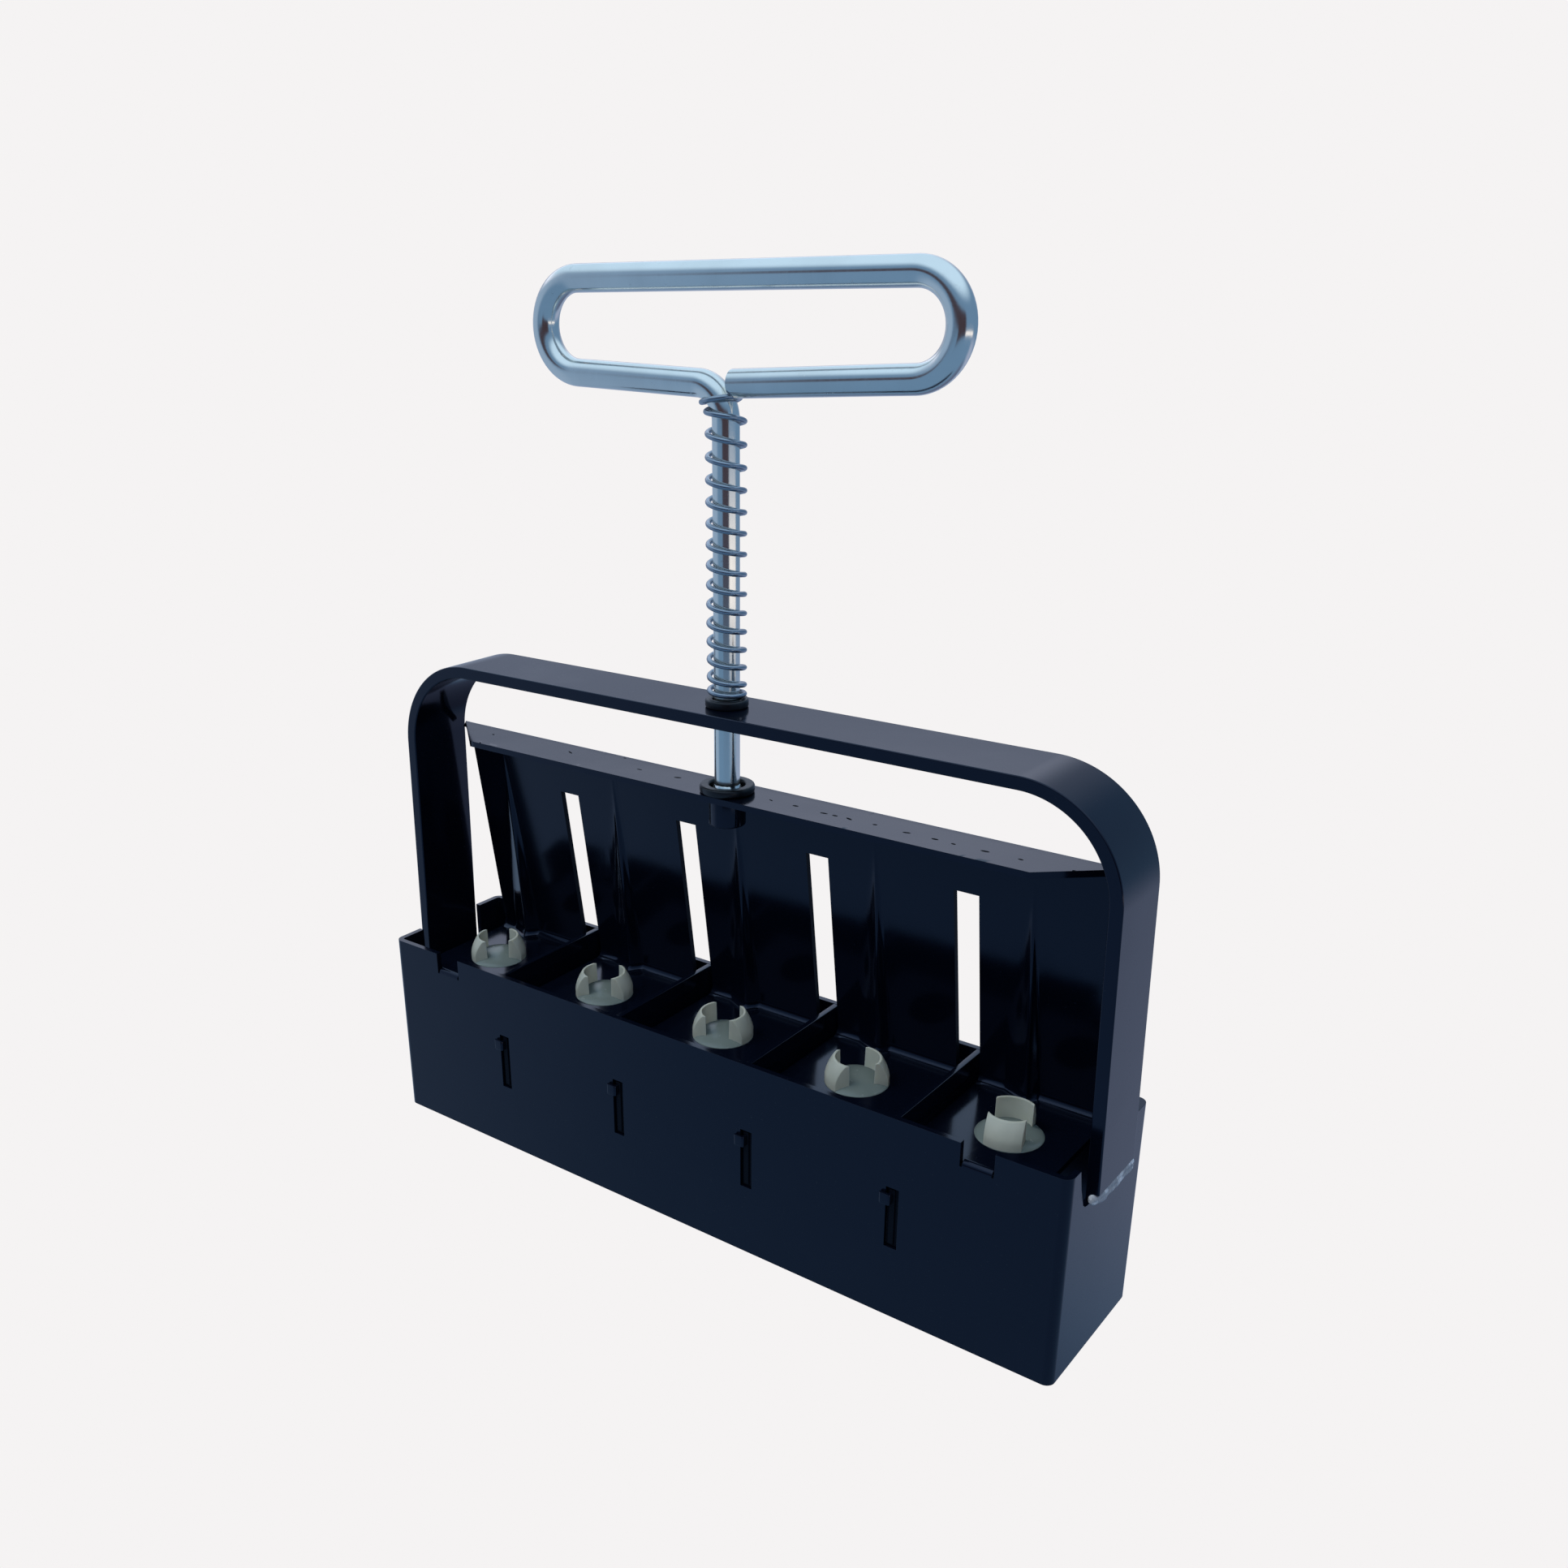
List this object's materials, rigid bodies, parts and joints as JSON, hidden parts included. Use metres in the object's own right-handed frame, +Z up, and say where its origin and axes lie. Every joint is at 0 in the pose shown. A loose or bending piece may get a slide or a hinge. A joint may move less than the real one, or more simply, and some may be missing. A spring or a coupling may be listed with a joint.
{
  "type": "hand soil blocker",
  "caption": "Hand soil blocker: an open-bottomed steel mould box with dividers, a strap frame over it, and a sprung plunger with a loop handle, slotted fingers and snap-in seed pins.",
  "frame": {"origin": "centre of the bottom rim of the mould box", "axes": "+X along the row of cells, +Y from the front wall to the back wall, +Z up through the rod"},
  "size_m": [0.2054, 0.0426, 0.224],
  "materials": {
    "painted_steel": "glossy blue-black powder coat on folded sheet and flat bar",
    "weld_bead": "weld metal under thin blue-black paint",
    "zinc_rod": "bright zinc-plated round bar",
    "spring_wire": "bright plated spring wire",
    "black_ring": "semi-gloss black rings",
    "nylon": "natural nylon, smooth"
  },
  "bodies": {
    "mould": {"mould_box": "painted_steel", "divider_1": "painted_steel", "divider_2": "painted_steel", "divider_3": "painted_steel", "divider_4": "painted_steel", "strap": "painted_steel", "weld_left": "weld_bead", "weld_right": "weld_bead", "strap_bush": "black_ring", "spring": "spring_wire"},
    "plunger": {"handle_rod": "zinc_rod", "rod_collar": "black_ring", "rod_weld": "zinc_rod", "rod_sleeve": "painted_steel", "plunger_plate": "painted_steel"},
    "pin_1": {"seed_pin_1": "nylon"},
    "pin_2": {"seed_pin_2": "nylon"},
    "pin_3": {"seed_pin_3": "nylon"},
    "pin_4": {"seed_pin_4": "nylon"},
    "pin_5": {"seed_pin_5": "nylon"}
  },
  "joints": [
    {"name": "plunger_slide", "type": "slide", "parent": "mould", "child": "plunger", "axis": [0, 0, -1], "range_m": [0, 0.042], "stiffness_N_per_m": 900, "springref_m": -0.008, "deforming": ["spring"]},
    {"name": "pin_1_turn", "type": "hinge", "parent": "plunger", "child": "pin_1", "pos_m": [-0.0786, -0.0022, 0.046], "axis": [0, 0, 1], "continuous": true},
    {"name": "pin_2_turn", "type": "hinge", "parent": "plunger", "child": "pin_2", "pos_m": [-0.0393, -0.0022, 0.046], "axis": [0, 0, 1], "continuous": true},
    {"name": "pin_3_turn", "type": "hinge", "parent": "plunger", "child": "pin_3", "pos_m": [0, -0.0022, 0.046], "axis": [0, 0, 1], "continuous": true},
    {"name": "pin_4_turn", "type": "hinge", "parent": "plunger", "child": "pin_4", "pos_m": [0.0393, -0.0022, 0.046], "axis": [0, 0, 1], "continuous": true},
    {"name": "pin_5_turn", "type": "hinge", "parent": "plunger", "child": "pin_5", "pos_m": [0.0786, -0.0022, 0.046], "axis": [0, 0, 1], "continuous": true}
  ]
}
